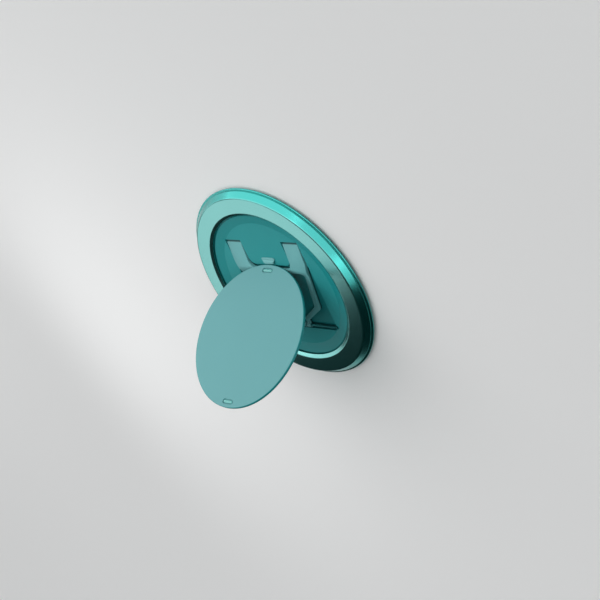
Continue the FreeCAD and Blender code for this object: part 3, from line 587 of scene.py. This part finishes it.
def add_eased_copy(node, body, width):
    """Copy of a CAD node with its triangles merged and its hard edges eased by a small bevel."""
    mesh = nodes[node].data.copy()
    work = bmesh.new()
    work.from_mesh(mesh)
    bmesh.ops.remove_doubles(work, verts=work.verts, dist=MERGE_GAP * MM)
    bmesh.ops.dissolve_limit(work, angle_limit=FLAT_ANGLE, verts=work.verts, edges=work.edges)
    bmesh.ops.recalc_face_normals(work, faces=work.faces)
    for face in work.faces:
        face.smooth = True
    work.to_mesh(mesh)
    work.free()
    mesh.name = node + "_eased"
    piece = bpy.data.objects.new(node + "_eased", mesh)
    bpy.context.scene.collection.objects.link(piece)
    ease = piece.modifiers.new("ease", "BEVEL")
    ease.width = width * MM
    ease.segments = BEVEL_SEGMENTS
    ease.limit_method = "ANGLE"
    ease.angle_limit = HARD_ANGLE
    ease.harden_normals = True
    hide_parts(node)
    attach(piece, body)


for node, body, slot, width in (
        ("guide_frame", "turntable", "frame_coat", FRAME_BEVEL),
        ("strut", "strut", "frame_coat", FRAME_BEVEL),
        ("hinge_bracket", "disk", "frame_coat", BRACKET_BEVEL)):
    add_eased_copy(node, body, width)


def set_floor():
    """Pale floor just under the back face, wide enough to fill the view."""
    mesh = bpy.data.meshes.new("floor")
    half, low = STAGE_HALF * MM, -STAGE_DROP * MM
    corners = [(-half, -half, low), (half, -half, low), (half, half, low), (-half, half, low)]
    mesh.from_pydata(corners, [], [(0, 1, 2, 3)])
    floor = bpy.data.objects.new("floor", mesh)
    bpy.context.scene.collection.objects.link(floor)
    finish = Finish("pale_floor", Roughness=0.7, Specular_IOR_Level=0.2)
    drift = finish.effect(tint_drift, Colour=STAGE_TONE, Patch_Size=200 * MM, Amount=0.01)
    finish.feed(drift.outputs["Colour"], "Base Color")
    mesh.materials.append(finish.material)


def set_lamp(name, place, target, width, height, power):
    """Soft area lamp at a place, turned towards a target."""
    light = bpy.data.lights.new(name, "AREA")
    light.shape = "RECTANGLE"
    light.size = width * MM
    light.size_y = height * MM
    light.energy = power
    lamp = bpy.data.objects.new(name, light)
    bpy.context.scene.collection.objects.link(lamp)
    lamp.location = Vector(place) * MM
    lamp.rotation_euler = (Vector(target) - Vector(place)).to_track_quat("-Z", "Y").to_euler()


def set_sky_panel(name, direction, angle, strength):
    """Distant round light panel, angle degrees wide, that lights the floor evenly from a direction."""
    light = bpy.data.lights.new(name, "SUN")
    light.angle = math.radians(angle)
    light.energy = strength
    lamp = bpy.data.objects.new(name, light)
    bpy.context.scene.collection.objects.link(lamp)
    lamp.rotation_euler = (-Vector(direction)).to_track_quat("-Z", "Y").to_euler()


def set_world():
    """Soft studio surround: pale above and towards +Y, dim teal towards -Y, blended by direction."""
    world = bpy.data.worlds.new("studio")
    world.use_nodes = True
    tree = world.node_tree
    background = tree.nodes["Background"]
    place = tree.nodes.new("ShaderNodeTexCoord")
    lean = tree.nodes.new("ShaderNodeVectorMath")
    lean.operation = "DOT_PRODUCT"
    lean.inputs[1].default_value = SURROUND_LEAN
    tree.links.new(place.outputs["Generated"], lean.inputs[0])
    share = tree.nodes.new("ShaderNodeMapRange")
    share.inputs["From Min"].default_value = SURROUND_START
    share.inputs["From Max"].default_value = SURROUND_STOP
    tree.links.new(lean.outputs["Value"], share.inputs["Value"])
    tones = tree.nodes.new("ShaderNodeMix")
    tones.data_type = "RGBA"
    dim_socket, pale_socket, output = MIX_COLOURS
    tones.inputs[dim_socket].default_value = DIM_SURROUND
    tones.inputs[pale_socket].default_value = PALE_SURROUND
    tree.links.new(share.outputs["Result"], tones.inputs[0])
    tree.links.new(tones.outputs[output], background.inputs["Color"])
    bpy.context.scene.world = world


def set_camera():
    """Camera at the photograph's viewing angle.

    Its back direction is given by azimuth and elevation, and the level right and up directions
    are then rolled about it.
    """
    azimuth, elevation = math.radians(CAMERA_AZIMUTH), math.radians(CAMERA_ELEVATION)
    roll = math.radians(CAMERA_ROLL)
    level = Vector((-math.sin(azimuth), math.cos(azimuth), 0.0))
    back = Vector((math.cos(elevation) * math.cos(azimuth), math.cos(elevation) * math.sin(azimuth),
                   math.sin(elevation)))
    rise = back.cross(level)
    right = level * math.cos(roll) + rise * math.sin(roll)
    up = rise * math.cos(roll) - level * math.sin(roll)
    data = bpy.data.cameras.new("camera")
    data.sensor_width = SENSOR_WIDTH
    data.lens = LENS
    data.clip_start = CLIP_START
    camera = bpy.data.objects.new("camera", data)
    bpy.context.scene.collection.objects.link(camera)
    turn = Matrix((right, up, back)).transposed().to_4x4()
    camera.matrix_world = Matrix.Translation(Vector(CAMERA_PLACE) * MM) @ turn
    bpy.context.scene.camera = camera


set_floor()
for lamp in LAMPS:
    set_lamp(*lamp)
for panel in SKY_PANELS:
    set_sky_panel(*panel)
set_world()
set_camera()
bpy.context.scene.view_settings.view_transform = "Standard"
